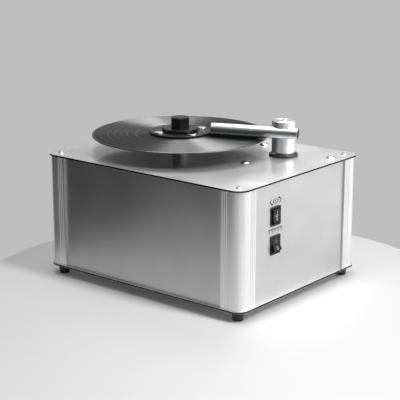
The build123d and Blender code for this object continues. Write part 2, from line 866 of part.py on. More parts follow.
def tank_gasket():
    """The flat gasket between the tank and its lid."""
    inner = tank_radius - tank_wall
    return pipe(tank_x, tank_y, tank_top, tank_top + gasket_thickness, tank_rim_radius, inner)


def tank_lid():
    """The lid under the deck, with the guide through it."""
    low = top_plate_low - lid_thickness
    body = eared_disc(low, top_plate_low, tank_rim_radius)
    return body - rod(column_x, column_y, low, top_plate_low, guide_radius + seat_clearance)


def tank_bolts():
    """Three bolts with domed heads that hang the tank from the deck."""
    bolts = []
    dome_radius = (bolt_head_radius ** 2 + bolt_head_height ** 2) / (2 * bolt_head_height)
    for x, y in bolt_points:
        dome = Pos(x, y, deck + bolt_head_height - dome_radius) * Sphere(dome_radius)
        head = dome & rod(x, y, deck, deck + bolt_head_height, bolt_head_radius)
        low = rim_low - bolt_nut_height - bolt_tail
        bolts.append(head + rod(x, y, low, deck, bolt_radius))
    return Compound(children=bolts)


def tank_nuts():
    """Three nuts under the tank's ears."""
    nuts = []
    for x, y in bolt_points:
        low = rim_low - bolt_nut_height
        nut = hexagon(x, y, low, rim_low, bolt_nut_across)
        nuts.append(nut - rod(x, y, low, rim_low, bolt_radius + seat_clearance))
    return Compound(children=nuts)


def drain_fitting():
    """The drain pipe from the tank's foot through the rear panel."""
    start = tank_y + tank_radius - tank_wall - drain_inside
    end = panel_face_y + drain_tip
    body = cross_rod(tank_x, drain_z, start, end, drain_radius)
    body += cross_rod(tank_x, drain_z, panel_face_y, panel_face_y + drain_flange_thickness,
                      drain_flange_radius)
    return body - cross_rod(tank_x, drain_z, start, end, drain_radius - drain_wall)


def drain_cap():
    """The screw cap on the drain."""
    start = panel_face_y + drain_flange_thickness
    end = panel_face_y + drain_tip
    body = cross_rod(tank_x, drain_z, start, end + drain_cap_roof, drain_cap_radius)
    return body - cross_rod(tank_x, drain_z, start, end, drain_radius + running_clearance)


# ---------------------------------------------------------------- vacuum unit
def motor_mount_ring():
    """The rubber ring that the vacuum motor stands on."""
    return pipe(vacuum_x, vacuum_y, bottom_plate_top, motor_low, vacuum_motor_radius,
                vacuum_motor_radius - mount_ring_wall)


def vacuum_motor():
    """The vacuum motor with a bore for the impeller's shaft."""
    body = rod(vacuum_x, vacuum_y, motor_low, fan_low, vacuum_motor_radius)
    return body - rod(vacuum_x, vacuum_y, fan_low - vacuum_shaft_depth, fan_low,
                      vacuum_shaft_radius + running_clearance)


def fan_housing():
    """The drum around the impeller, with an inlet above and outlet windows in its wall."""
    body = rod(vacuum_x, vacuum_y, fan_low, fan_top, fan_housing_radius)
    body += rod(vacuum_x, vacuum_y, fan_top, fan_top + fan_inlet_height, fan_inlet_radius)
    body -= rod(vacuum_x, vacuum_y, fan_low + fan_wall, fan_top - fan_wall, fan_housing_radius - fan_wall)
    body -= rod(vacuum_x, vacuum_y, fan_low, fan_low + fan_wall, impeller_hub_radius)
    body -= rod(vacuum_x, vacuum_y, fan_top - fan_wall, fan_top + fan_inlet_height,
                fan_inlet_radius - fan_inlet_wall)
    window_z = fan_low + fan_wall + fan_window_height / 2
    for step in range(fan_window_count):
        heading = 360 * step / fan_window_count
        window = Pos(fan_housing_radius, 0, 0) * Box(4 * fan_wall, fan_window_width, fan_window_height)
        body -= Location((vacuum_x, vacuum_y, window_z), (0, 0, heading)) * window
    return body


def fan_impeller():
    """The closed impeller with swept vanes and its shaft."""
    low = fan_low + impeller_lift
    vane_low = low + impeller_disc
    vane_high = vane_low + impeller_vane_height
    body = rod(vacuum_x, vacuum_y, low, vane_low, impeller_radius)
    body += pipe(vacuum_x, vacuum_y, vane_high, vane_high + impeller_disc,
                 impeller_radius, impeller_eye_radius)
    inner = impeller_hub_radius
    length = impeller_radius - inner - impeller_disc
    for step in range(impeller_vane_count):
        heading = 360 * step / impeller_vane_count
        vane = Pos(length / 2, 0, 0) * Box(length, impeller_vane_thickness, impeller_vane_height)
        swept = Pos(inner, 0, 0) * Rot(0, 0, impeller_vane_sweep / 2) * vane
        place = Location((vacuum_x, vacuum_y, vane_low + impeller_vane_height / 2), (0, 0, heading))
        body += place * swept
    body += rod(vacuum_x, vacuum_y, low, vane_high, impeller_hub_radius)
    shaft_low = fan_low - vacuum_shaft_depth
    return body + rod(vacuum_x, vacuum_y, shaft_low, low, vacuum_shaft_radius)


def vacuum_hose():
    """The hose from the tank's air outlet to the fan inlet."""
    inner = fan_inlet_radius + hose_clearance
    start = (tank_x - tank_radius - hose_clearance, tank_y, hose_z)
    end = (vacuum_x, vacuum_y, fan_top + hose_clearance)
    route = [start, (vacuum_x, tank_y, hose_z), (vacuum_x, vacuum_y, hose_z), end]
    path = FilletPolyline(*route, radius=[hose_bend_side, hose_bend_down])
    section = Plane(origin=start, z_dir=(-1, 0, 0)) * (Circle(inner + hose_wall) - Circle(inner))
    return sweep(section, path)


# ---------------------------------------------------------------- switches and mains inlet
def switch_body(z, tilt):
    """A rocker switch's case with its bezel, the rocker's pocket and pin holes."""
    half_y = bezel_width / 2
    half_z = bezel_height / 2
    bezel = block((panel_face_x, bezel_face),
                  (switch_y - half_y, switch_y + half_y), (z - half_z, z + half_z))
    corners_of_bezel = bezel.edges().filter_by(Axis.X)
    bezel = fillet(corners_of_bezel, bezel_round)
    back = panel_face_x - switch_body_depth
    body = bezel + block((back, panel_face_x),
                         (switch_y - switch_body_width / 2, switch_y + switch_body_width / 2),
                         (z - switch_body_height / 2, z + switch_body_height / 2))
    pocket_y = rocker_width / 2 + rocker_side_clearance
    pocket_z = rocker_reach + rocker_end_clearance
    heel_angle = math.asin(rocker_heel / rocker_reach) + math.radians(tilt)
    pocket_back = rocker_pivot_x - rocker_reach * math.sin(heel_angle) - rocker_end_clearance
    body -= block((pocket_back, bezel_face), (switch_y - pocket_y, switch_y + pocket_y),
                  (z - pocket_z, z + pocket_z))
    reach = pocket_y + rocker_pin_length
    return body - cross_rod_at(rocker_pivot_x, z, reach, rocker_pin_radius + rocker_pin_clearance)


def cross_rod_at(x, z, reach, radius):
    """A cylinder along Y through a switch's pivot, centred on the switch."""
    return Pos(x, switch_y, z) * Rot(90, 0, 0) * Cylinder(radius, 2 * reach)


def rocker(z, tilt):
    """A rocker with a shallow V face, round ends about its pivot and two stub pins."""
    end_x = rocker_pivot_depth + rocker_end_rise
    end_z = math.sqrt(rocker_reach ** 2 - end_x ** 2)
    face = Polyline((-rocker_heel, -rocker_reach), (end_x, -rocker_reach), (end_x, -end_z),
                    (rocker_pivot_depth + rocker_middle_rise, 0), (end_x, end_z),
                    (end_x, rocker_reach), (-rocker_heel, rocker_reach), close=True)
    outline = make_face(face) & Circle(rocker_reach)
    solid = extrude(Plane.XZ * outline, rocker_width / 2, both=True)
    solid = fillet(solid.edges().filter_by(Axis.Y).group_by(Axis.X)[-1], rocker_edge_round)
    heel_gap = Plane.XZ * Pos(-rocker_heel - rocker_reach / 2, 0) * Rectangle(rocker_reach, 2 * rocker_reach)
    solid -= extrude(heel_gap, rocker_width, both=True)
    solid += Rot(90, 0, 0) * Cylinder(rocker_pin_radius, rocker_width + 2 * rocker_pin_length)
    return Pos(rocker_pivot_x, switch_y, z) * Rot(0, tilt, 0) * solid


def mains_inlet():
    """A three-pin appliance inlet in the rear panel."""
    def centred(width, height, front, back):
        return block((inlet_x - width / 2, inlet_x + width / 2), (front, back),
                     (inlet_z - height / 2, inlet_z + height / 2))
    outer = panel_face_y + inlet_flange_thickness
    inner = panel_face_y - inlet_body_depth
    floor = outer - inlet_socket_depth
    body = centred(inlet_flange_width, inlet_flange_height, panel_face_y, outer)
    body += centred(inlet_body_width, inlet_body_height, inner, panel_face_y)
    body -= centred(inlet_socket_width, inlet_socket_height, floor, outer)
    rows = ((-1, -1), (1, -1), (0, 1))
    for column, row in rows:
        x = inlet_x + column * inlet_pin_spacing
        z = inlet_z + row * inlet_pin_width / 2
        body += block((x - inlet_pin_thickness / 2, x + inlet_pin_thickness / 2),
                      (floor, floor + inlet_pin_length),
                      (z - inlet_pin_width / 2, z + inlet_pin_width / 2))
    for side in (-1, 1):
        x = inlet_x + side * inlet_screw_spacing / 2
        body -= cross_rod(x, inlet_z, panel_face_y, outer, inlet_screw_radius + screw_hole_clearance)
    return body


def inlet_screws():
    """Two screws that hold the mains inlet."""
    screws = []
    seat = panel_face_y + inlet_flange_thickness
    for side in (-1, 1):
        x = inlet_x + side * inlet_screw_spacing / 2
        head = cross_rod(x, inlet_z, seat, seat + inlet_screw_head_height, inlet_screw_head)
        screws.append(head + cross_rod(x, inlet_z, seat - inlet_screw_length, seat, inlet_screw_radius))
    return Compound(children=screws)


# ---------------------------------------------------------------- write every sub-part
parts = {
    "bottom_plate": plate(bottom_plate_low),
    "top_plate": top_plate(),
    "corner_post_front_right": corner_post(1, -1),
    "corner_post_front_left": corner_post(-1, -1),
    "corner_post_rear_right": corner_post(1, 1),
    "corner_post_rear_left": corner_post(-1, 1),
    "front_panel": front_panel(),
    "rear_panel": rear_panel(),
    "left_panel": left_panel(),
    "right_panel": right_panel(),
    "rubber_feet": rubber_feet(),
    "top_corner_screws": top_corner_screws(),
    "foot_screws": foot_screws(),
    "bearing_tower": bearing_tower(),
    "bearing_bushes": bearing_bushes(),
    "bearing_nut": bearing_nut(),
    "motor_top_disc": motor_top_disc(),
    "motor_standoffs": motor_standoffs(),
    "motor_plate": motor_plate(),
    "platter_gearbox": platter_gearbox(),
    "platter_motor": platter_motor(),
    "gearbox_shaft": gearbox_shaft(),
    "shaft_coupling": shaft_coupling(),
    "spindle": spindle(),
    "label_platter": label_platter(),
    "platter_mat": platter_mat(),
    "vinyl_record": vinyl_record(),
    "record_labels": record_labels(),
    "clamp_disc": clamp_disc(),
    "clamp_studs": clamp_studs(),
    "clamp_seal": clamp_seal(),
    "clamp_knob": clamp_knob(),
    "column_guide": column_guide(),
    "guide_nut": guide_nut(),
    "base_ring": base_ring(),
    "lift_sleeve": lift_sleeve(),
    "arm_column": arm_column(),
    "column_cap": column_cap(),
    "cap_screw": cap_screw(),
    "suction_tube": suction_tube(),
    "tube_end_plugs": tube_end_plugs(),
    "velvet_strips": velvet_strips(),
    "waste_tank": waste_tank(),
    "tank_gasket": tank_gasket(),
    "tank_lid": tank_lid(),
    "tank_bolts": tank_bolts(),
    "tank_nuts": tank_nuts(),
    "drain_fitting": drain_fitting(),
    "drain_cap": drain_cap(),
    "motor_mount_ring": motor_mount_ring(),
    "vacuum_motor": vacuum_motor(),
    "fan_housing": fan_housing(),
    "fan_impeller": fan_impeller(),
    "vacuum_hose": vacuum_hose(),
    "motor_switch_body": switch_body(motor_switch_z, motor_rocker_tilt),
    "motor_rocker": rocker(motor_switch_z, 0.0),
    "vacuum_switch_body": switch_body(vacuum_switch_z, vacuum_rocker_tilt),
    "vacuum_rocker": rocker(vacuum_switch_z, -vacuum_rocker_tilt),
    "mains_inlet": mains_inlet(),
    "inlet_screws": inlet_screws(),
}

for part_name, part_shape in parts.items():
    save(part_name, part_shape)
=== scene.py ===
# %% [markdown]
# # A record cleaning machine
# The machine washes twelve-inch records and sucks them dry. A record turns on a small platter under
# a black clamp, and a chrome tube on a column draws the fluid off. The solids come from a CAD model
# and are the fixed frame here. This lesson gives each of them a finish, adds the soft and printed
# pieces that CAD leaves out, and lights the whole thing on a round table.

# %% Load the frame
import json
import math
import bpy
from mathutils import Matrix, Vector


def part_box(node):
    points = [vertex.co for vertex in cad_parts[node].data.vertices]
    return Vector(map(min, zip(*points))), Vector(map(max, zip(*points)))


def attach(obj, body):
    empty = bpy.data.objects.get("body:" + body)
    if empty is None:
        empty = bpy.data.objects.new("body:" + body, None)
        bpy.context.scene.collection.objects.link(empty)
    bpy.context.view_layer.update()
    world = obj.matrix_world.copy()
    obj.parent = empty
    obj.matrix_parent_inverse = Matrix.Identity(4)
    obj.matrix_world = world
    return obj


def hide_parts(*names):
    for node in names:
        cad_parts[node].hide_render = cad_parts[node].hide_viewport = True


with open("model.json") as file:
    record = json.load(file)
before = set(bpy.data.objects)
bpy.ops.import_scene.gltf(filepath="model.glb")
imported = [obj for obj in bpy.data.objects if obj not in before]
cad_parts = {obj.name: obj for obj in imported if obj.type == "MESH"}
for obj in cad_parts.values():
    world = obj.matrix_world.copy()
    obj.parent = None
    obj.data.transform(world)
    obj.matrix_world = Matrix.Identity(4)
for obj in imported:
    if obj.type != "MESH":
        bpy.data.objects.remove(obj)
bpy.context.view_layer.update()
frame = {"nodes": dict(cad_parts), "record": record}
nodes = frame["nodes"]

# %% [markdown]
# ## The camera
# A long lens a little over two metres away keeps the upright edges nearly parallel. The view comes
# from the front right corner, fifteen degrees above the deck, so both switches and the whole of
# the arm are seen.

# %% Camera
bpy.ops.object.camera_add(location=(1.313, -1.623, 0.6945),
                          rotation=(math.radians(74.890), 0, math.radians(39.085)))
camera = bpy.context.object
camera.data.lens = 113.81
camera.data.sensor_width = 36
bpy.context.scene.camera = camera
bpy.context.scene.view_settings.view_transform = "Standard"
print("lens", round(camera.data.lens, 1))

# %% [markdown]
# ## Helpers for finishes
# Every finish is a Principled shader whose colour, roughness and relief vary a little. The
# patterns read Object coordinates. Each object here sits at the origin, so those are metres from
# the middle of the machine, and one pattern can run across several pieces.

# %% Node helpers
def new_finish(name, colour, roughness, metallic=0.0, **sockets):
    """Makes a material; extra sockets are set on the shader itself."""
    material = bpy.data.materials.new(name)
    material.use_nodes = True
    shader = material.node_tree.nodes["Principled BSDF"]
    shader.inputs["Base Color"].default_value = (*colour, 1)
    shader.inputs["Roughness"].default_value = roughness
    shader.inputs["Metallic"].default_value = metallic
    for socket, value in sockets.items():
        shader.inputs[socket.replace("_", " ")].default_value = value
    material.diffuse_color = (*colour, 1)
    return material


def node(material, kind, **settings):
    """Adds a node and sets its properties or its input values."""
    made = material.node_tree.nodes.new(kind)
    for key, value in settings.items():
        if hasattr(made, key):
            setattr(made, key, value)
        else:
            made.inputs[key.replace("_", " ")].default_value = value
    return made


def join(material, source, target):
    """Links one socket to another."""
    material.node_tree.links.new(source, target)


def shader_of(material):
    """The shader that carries a material's look."""
    return material.node_tree.nodes["Principled BSDF"]


# %% Pattern helpers
# A noise pattern does nearly all of its varying between these two values.
noise_low, noise_high = 0.35, 0.65


def place_in(material, stretch=(1, 1, 1), shift=(0, 0, 0)):
    """Object coordinates, moved and stretched."""
    coordinates = node(material, "ShaderNodeTexCoord")
    mapping = node(material, "ShaderNodeMapping")
    mapping.inputs["Location"].default_value = shift
    mapping.inputs["Scale"].default_value = stretch
    join(material, coordinates.outputs["Object"], mapping.inputs["Vector"])
    return mapping.outputs["Vector"]


def noise(material, scale, detail=3.0, stretch=(1, 1, 1)):
    """Soft random variation; a stretch under 1 draws it out along that axis."""
    texture = node(material, "ShaderNodeTexNoise", Scale=scale, Detail=detail)
    join(material, place_in(material, stretch), texture.inputs["Vector"])
    return texture.outputs["Fac"]


def between(material, source, low, high):
    """Turns a noise pattern into numbers between low and high."""
    spread = node(material, "ShaderNodeMapRange", From_Min=noise_low, From_Max=noise_high,
                  To_Min=low, To_Max=high)
    join(material, source, spread.inputs["Value"])
    return spread.outputs["Result"]


def shades(material, source, dark, light):
    """Blends two colours by a pattern into the base colour."""
    ramp = node(material, "ShaderNodeValToRGB")
    stops = ramp.color_ramp.elements
    stops[0].position, stops[1].position = noise_low, noise_high
    stops[0].color = (*dark, 1)
    stops[1].color = (*light, 1)
    join(material, source, ramp.inputs["Fac"])
    join(material, ramp.outputs["Color"], shader_of(material).inputs["Base Color"])
    return ramp


def relief(material, source, depth, strength):
    """Uses a pattern as relief of the given depth in metres."""
    bump = node(material, "ShaderNodeBump", Strength=strength, Distance=depth)
    join(material, source, bump.inputs["Height"])
    join(material, bump.outputs["Normal"], shader_of(material).inputs["Normal"])


def vary_roughness(material, source, low, high):
    """Lets the roughness wander between two values."""
    join(material, between(material, source, low, high), shader_of(material).inputs["Roughness"])


def math_node(material, operation, first, second):
    """One Math node; each operand is a socket or a number."""
    made = node(material, "ShaderNodeMath", operation=operation)
    for socket, value in zip(made.inputs, (first, second)):
        if isinstance(value, (int, float)):
            socket.default_value = value
        else:
            join(material, value, socket)
    return made.outputs["Value"]


# %% [markdown]
# ## Sheet metal and extrusions
# The deck and the base are sandwich sheets: two bright aluminium skins on a black core, which
# shows only along the cut edge. The core is painted by height, on faces that point sideways. The
# panels are plain sheet with a fine grain, and the posts are extrusions, whose die leaves faint
# lines along their length.

# %% Sandwich sheet of the deck and the base
core_half = 0.00125
core_colour = (0.004, 0.004, 0.004, 1)
skin_metal = 0.8
skin_coat = 0.8
skin_specular = 0.5
sheet = new_finish("sandwich_sheet", (0.73, 0.73, 0.73), 0.37,
                   metallic=skin_metal, Coat_Roughness=0.1)
sheet_cloud = noise(sheet, 9.0, 2.0)
vary_roughness(sheet, sheet_cloud, 0.34, 0.4)
sheet_grain = noise(sheet, 900.0, 2.0, stretch=(0.04, 1, 1))
relief(sheet, sheet_grain, 0.00002, 0.25)
spots = node(sheet, "ShaderNodeSeparateXYZ")
join(sheet, place_in(sheet), spots.inputs["Vector"])
height = spots.outputs["Z"]
core = None
for node_name in ("top_plate", "bottom_plate"):
    low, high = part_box(node_name)
    middle = (low.z + high.z) / 2
    off_middle = math_node(sheet, "ABSOLUTE", math_node(sheet, "SUBTRACT", height, middle), 0)
    inside = math_node(sheet, "LESS_THAN", off_middle, core_half)
    core = inside if core is None else math_node(sheet, "ADD", core, inside)
    print(node_name, "core at", round(middle, 4))
skin_colour = shades(sheet, sheet_cloud, (0.74, 0.74, 0.74), (0.78, 0.78, 0.78))
core_mix = node(sheet, "ShaderNodeMix", data_type="RGBA")
join(sheet, core, core_mix.inputs[0])
join(sheet, skin_colour.outputs["Color"], core_mix.inputs[6])
core_mix.inputs[7].default_value = core_colour
join(sheet, core_mix.outputs[2], shader_of(sheet).inputs["Base Color"])
is_skin = math_node(sheet, "SUBTRACT", 1, core)
for socket, value in (("Metallic", skin_metal), ("Coat Weight", skin_coat),
                      ("Specular IOR Level", skin_specular)):
    join(sheet, math_node(sheet, "MULTIPLY", is_skin, value), shader_of(sheet).inputs[socket])

# %% Panels and posts
panel = new_finish("panel_sheet", (0.56, 0.56, 0.56), 0.42, metallic=0.95)
shades(panel, noise(panel, 14.0, 2.0), (0.53, 0.53, 0.53), (0.57, 0.57, 0.57))
vary_roughness(panel, noise(panel, 7.0, 2.0), 0.4, 0.45)
relief(panel, noise(panel, 1200.0, 2.0), 0.00002, 0.3)

post = new_finish("extruded_post", (0.8, 0.8, 0.8), 0.42, metallic=0.8)
shades(post, noise(post, 400.0, 2.0, stretch=(1, 1, 0.01)), (0.76, 0.76, 0.76), (0.84, 0.84, 0.84))
vary_roughness(post, noise(post, 12.0, 2.0), 0.38, 0.46)
relief(post, noise(post, 1500.0, 2.0, stretch=(1, 1, 0.01)), 0.00003, 0.3)
print("sheet metal", [m.name for m in (sheet, panel, post)])

# %% [markdown]
# ## Turned and bright metal
# A lathe leaves fine rings round a part. Chrome has none of that, only a few hairline marks and a
# deeper, cooler reflection.

# %% Turned, plated and cast metals
column = new_finish("satin_column", (0.82, 0.82, 0.83), 0.34, metallic=1.0, Anisotropic=0.6,
                    Anisotropic_Rotation=0.25)
round_column = node(column, "ShaderNodeTangent", direction_type="RADIAL", axis="Z")
join(column, round_column.outputs["Tangent"], shader_of(column).inputs["Tangent"])
relief(column, noise(column, 2500.0, 2.0, stretch=(0.002, 0.002, 1)), 0.00001, 0.08)
vary_roughness(column, noise(column, 60.0, 2.0), 0.32, 0.38)

chrome = new_finish("polished_tube", (0.55, 0.56, 0.57), 0.3, metallic=1.0)
vary_roughness(chrome, noise(chrome, 40.0, 3.0), 0.27, 0.33)
relief(chrome, noise(chrome, 30.0, 2.0), 0.0001, 0.06)

stud_chrome = new_finish("stud_chrome", (0.9, 0.9, 0.91), 0.1, metallic=1.0)
vary_roughness(stud_chrome, noise(stud_chrome, 200.0, 2.0), 0.06, 0.14)

screw = new_finish("screw_steel", (0.42, 0.42, 0.43), 0.34, metallic=1.0)
vary_roughness(screw, noise(screw, 300.0, 2.0), 0.26, 0.36)
relief(screw, noise(screw, 900.0, 2.0), 0.00002, 0.2)

shaft = new_finish("shaft_steel", (0.62, 0.63, 0.65), 0.22, metallic=1.0)
vary_roughness(shaft, noise(shaft, 800.0, 2.0, stretch=(0.03, 0.03, 1)), 0.16, 0.3)

turned = new_finish("turned_aluminium", (0.7, 0.71, 0.73), 0.3, metallic=1.0)
relief(turned, noise(turned, 1800.0, 2.0, stretch=(0.03, 0.03, 1)), 0.00003, 0.4)
vary_roughness(turned, noise(turned, 50.0, 2.0), 0.26, 0.36)

bronze = new_finish("bronze", (0.55, 0.36, 0.18), 0.35, metallic=1.0)
shades(bronze, noise(bronze, 90.0, 3.0), (0.42, 0.27, 0.13), (0.6, 0.4, 0.2))

fan_metal = new_finish("pressed_steel", (0.5, 0.51, 0.52), 0.42, metallic=1.0)
vary_roughness(fan_metal, noise(fan_metal, 25.0, 3.0), 0.34, 0.5)

motor_paint = new_finish("motor_paint", (0.09, 0.1, 0.11), 0.5)
relief(motor_paint, noise(motor_paint, 700.0, 3.0), 0.00008, 0.5)
shades(motor_paint, noise(motor_paint, 60.0), (0.075, 0.08, 0.09), (0.105, 0.11, 0.12))

# %% [markdown]
# ## Plastics, rubber, vinyl and paper
# Black mouldings are never quite black or quite smooth: a fine grain spreads the light. The
# record is glossy between the tracks and finely ribbed in them, and ribs that run in circles
# stretch a lamp's reflection into two bright wedges. An anisotropic shader with a tangent that
# runs round the spindle gives those wedges without a groove modelled.

# %% Mouldings and rubber
def moulding(name, dark, light, roughness, grain, depth=0.00004, **sockets):
    """A moulded plastic with fine grain."""
    material = new_finish(name, light, roughness, **sockets)
    shades(material, noise(material, 120.0), dark, light)
    vary_roughness(material, noise(material, 40.0), roughness - 0.05, roughness + 0.05)
    relief(material, noise(material, grain, 2.0), depth, 0.4)
    return material


rubber = moulding("black_rubber", (0.006, 0.006, 0.006), (0.012, 0.012, 0.012), 0.42, 1500.0,
                  depth=0.00002)
clamp_black = moulding("clamp_black", (0.007, 0.007, 0.008), (0.012, 0.012, 0.013), 0.28, 900.0,
                       depth=0.00002, Specular_IOR_Level=0.2)
platter_black = moulding("platter_black", (0.015, 0.015, 0.016), (0.025, 0.025, 0.026), 0.4, 700.0)
switch_black = moulding("switch_black", (0.005, 0.005, 0.006), (0.01, 0.01, 0.011), 0.3, 1800.0,
                        depth=0.00002, Specular_IOR_Level=0.25)
inlet_black = moulding("inlet_black", (0.015, 0.015, 0.015), (0.025, 0.025, 0.025), 0.42, 1500.0)
plug_black = moulding("plug_black", (0.008, 0.008, 0.009), (0.015, 0.015, 0.016), 0.4, 1200.0)
tank_white = moulding("tank_plastic", (0.62, 0.63, 0.62), (0.68, 0.69, 0.68), 0.38, 300.0)
drain_grey = moulding("drain_plastic", (0.16, 0.16, 0.17), (0.2, 0.2, 0.21), 0.4, 900.0)
label_paper = moulding("label_paper", (0.5, 0.49, 0.46), (0.56, 0.55, 0.52), 0.7, 2500.0,
                       depth=0.00005)

# %% Vinyl
record_low, record_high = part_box("vinyl_record")
spindle_at = (record_low + record_high) / 2
record_radius = (record_high.x - record_low.x) / 2
print("record centre", [round(v, 4) for v in spindle_at], "radius", round(record_radius, 4))

track_gaps = (0.5, 0.6, 0.665, 0.74, 0.82, 0.9)
gap_width = 0.008
outer_rim = 0.975
gap_roughness = 0.3
vinyl = new_finish("pressed_vinyl", (0.006, 0.006, 0.007), 0.6, Anisotropic=1.0,
                   Anisotropic_Rotation=0.25, Specular_IOR_Level=0.8, IOR=1.7)
across = node(vinyl, "ShaderNodeSeparateXYZ")
join(vinyl, place_in(vinyl, shift=(-spindle_at.x, -spindle_at.y, 0)), across.inputs["Vector"])
squares = [math_node(vinyl, "POWER", across.outputs[axis], 2) for axis in ("X", "Y")]
radius = math_node(vinyl, "SQRT", math_node(vinyl, "ADD", *squares), 0)
share = math_node(vinyl, "DIVIDE", radius, record_radius)
gaps = node(vinyl, "ShaderNodeValToRGB")
gaps.color_ramp.interpolation = "CONSTANT"
stops = gaps.color_ramp.elements
stops[0].color = (0, 0, 0, 1)
stops[1].position = outer_rim
for start in track_gaps:
    for position, value in ((start, 1), (start + gap_width, 0)):
        stops.new(position).color = (value, value, value, 1)
join(vinyl, share, gaps.inputs["Fac"])
ribs = node(vinyl, "ShaderNodeTexNoise", noise_dimensions="1D", Scale=260.0, Detail=4.0)
join(vinyl, share, ribs.inputs["W"])
ribbed = between(vinyl, ribs.outputs["Fac"], 0.54, 0.64)
smooth = node(vinyl, "ShaderNodeMix", data_type="FLOAT")
join(vinyl, gaps.outputs["Color"], smooth.inputs[0])
join(vinyl, ribbed, smooth.inputs[2])
smooth.inputs[3].default_value = gap_roughness
join(vinyl, smooth.outputs[0], shader_of(vinyl).inputs["Roughness"])
round_spindle = node(vinyl, "ShaderNodeTangent", direction_type="RADIAL", axis="Z")
join(vinyl, round_spindle.outputs["Tangent"], shader_of(vinyl).inputs["Tangent"])
relief(vinyl, ribs.outputs["Fac"], 0.00002, 0.2)

# %% [markdown]
# ## Put each finish on its solids
# The record of the model lists a finish slot for every solid, so one table is enough.

# %% Hand out the finishes
finish_of_slot = {
    "deck_skin": sheet, "post_metal": post, "panel_metal": panel, "rubber": rubber,
    "screw_steel": screw, "shaft_steel": shaft, "turned_metal": turned, "bronze": bronze,
    "motor_paint": motor_paint, "fan_metal": fan_metal, "platter_plastic": platter_black,
    "vinyl": vinyl, "label_paper": label_paper, "clamp_black": clamp_black,
    "stud_chrome": stud_chrome, "tube_chrome": chrome, "column_metal": column,
    "plug_plastic": plug_black, "tank_plastic": tank_white, "drain_plastic": drain_grey,
    "switch_plastic": switch_black, "inlet_plastic": inlet_black, "velvet": rubber}
for part in frame["record"]["subparts"]:
    solid = nodes[part["node"]]
    for slot in solid.material_slots:
        slot.material = finish_of_slot[part["material_slot"]]

# %% [markdown]
# ## Modelling helpers
# An operator acts on whatever is selected, and the imported solids start selected. So each piece
# begins with nothing selected, and its place is applied to its mesh when it is done.

# %% Modelling helpers
def deselect():
    """Back to object mode with nothing selected."""
    if bpy.context.object and bpy.context.object.mode != "OBJECT":
        bpy.ops.object.mode_set(mode="OBJECT")
    bpy.ops.object.select_all(action="DESELECT")


def pick_none():
    """Clears the selection inside the mesh of the active piece."""
    bpy.ops.object.mode_set(mode="EDIT")
    bpy.ops.mesh.select_all(action="DESELECT")
    bpy.ops.object.mode_set(mode="OBJECT")


def freeze():
    """Applies the place, turn and size of what is selected."""
    bpy.ops.object.transform_apply(location=True, rotation=True, scale=True)


def settle(piece, material, body, smooth=30):
    """Applies the piece's place, shades it, gives it its finish and lets it ride on a body."""
    deselect()
    piece.select_set(True)
    bpy.context.view_layer.objects.active = piece
    freeze()
    if smooth:
        bpy.ops.object.shade_smooth_by_angle(angle=math.radians(smooth))
    piece.data.materials.clear()
    piece.data.materials.append(material)
    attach(piece, body)
    print(piece.name, len(piece.data.polygons), "faces")
    return piece


def merge(name, pieces):
    """Joins several pieces into one."""
    deselect()
    for piece in pieces:
        piece.select_set(True)
    bpy.context.view_layer.objects.active = pieces[0]
    bpy.ops.object.join()
    joined = bpy.context.object
    joined.name = name
    return joined


# %% [markdown]
# ## Printed marks
# Two signs are printed on the side panel, one over each switch: a turning disc for the platter and
# arrows drawn up to a bar for the vacuum. The rockers carry the usual line and ring. Each mark is
# built flat in front of its place from strips, arcs and triangles, and is then pressed straight
# back onto the solid, so it follows the slope of a rocker.

# %% Inks
ink_black = new_finish("black_ink", (0.012, 0.012, 0.013), 0.5)
shades(ink_black, noise(ink_black, 900.0), (0.009, 0.009, 0.01), (0.018, 0.018, 0.019))
ink_white = new_finish("white_ink", (0.75, 0.75, 0.75), 0.5)
shades(ink_white, noise(ink_white, 900.0), (0.68, 0.68, 0.68), (0.8, 0.8, 0.8))


# %% Shapes for the marks, drawn in a plane that faces +X
in_front = 0.002
mark_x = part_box("vacuum_rocker")[1].x + in_front
facing = (0, math.radians(90), 0)
bend_cuts = 12
arc_steps = 48
weld = 0.00001
ink_lift = 0.00006


def strip(y, z, width, height):
    """A flat bar, cut finely enough to follow a bend."""
    deselect()
    bpy.ops.mesh.primitive_grid_add(x_subdivisions=bend_cuts, y_subdivisions=bend_cuts, size=1,
                                    location=(mark_x, y, z), rotation=facing)
    bar = bpy.context.object
    bar.scale = (height, width, 1)
    freeze()
    return bar


def arc(y, z, radius, width, start, sweep, squash=1.0):
    """A strip bent round a centre: its short edge is spun about the X axis."""
    centre = (mark_x, y, z)
    deselect()
    bpy.ops.mesh.primitive_plane_add(size=width, location=(mark_x, y + radius, z), rotation=facing)
    bent = bpy.context.object
    freeze()
    pick_none()
    for vertex in bent.data.vertices:
        vertex.select = vertex.co.z < z
    bpy.ops.object.mode_set(mode="EDIT")
    bpy.ops.mesh.select_mode(type="VERT")
    bpy.ops.mesh.delete(type="VERT")
    bpy.ops.mesh.select_all(action="SELECT")
    bpy.ops.transform.translate(value=(0, 0, -width / 2))
    bpy.ops.transform.rotate(value=math.radians(start), orient_axis="X", center_override=centre)
    bpy.ops.mesh.spin(steps=arc_steps, angle=math.radians(sweep), center=centre, axis=(1, 0, 0))
    bpy.ops.mesh.select_all(action="SELECT")
    bpy.ops.mesh.remove_doubles(threshold=weld)
    bpy.ops.transform.resize(value=(1, 1, squash), center_override=centre)
    bpy.ops.object.mode_set(mode="OBJECT")
    return bent


def dot(y, z, radius, sides=32, turn=0.0):
    """A filled disc, or with three sides an arrow head."""
    deselect()
    bpy.ops.mesh.primitive_circle_add(vertices=sides, radius=radius, fill_type="TRIFAN",
                                      location=(mark_x, y, z),
                                      rotation=(math.radians(turn), *facing[1:]))
    freeze()
    return bpy.context.object


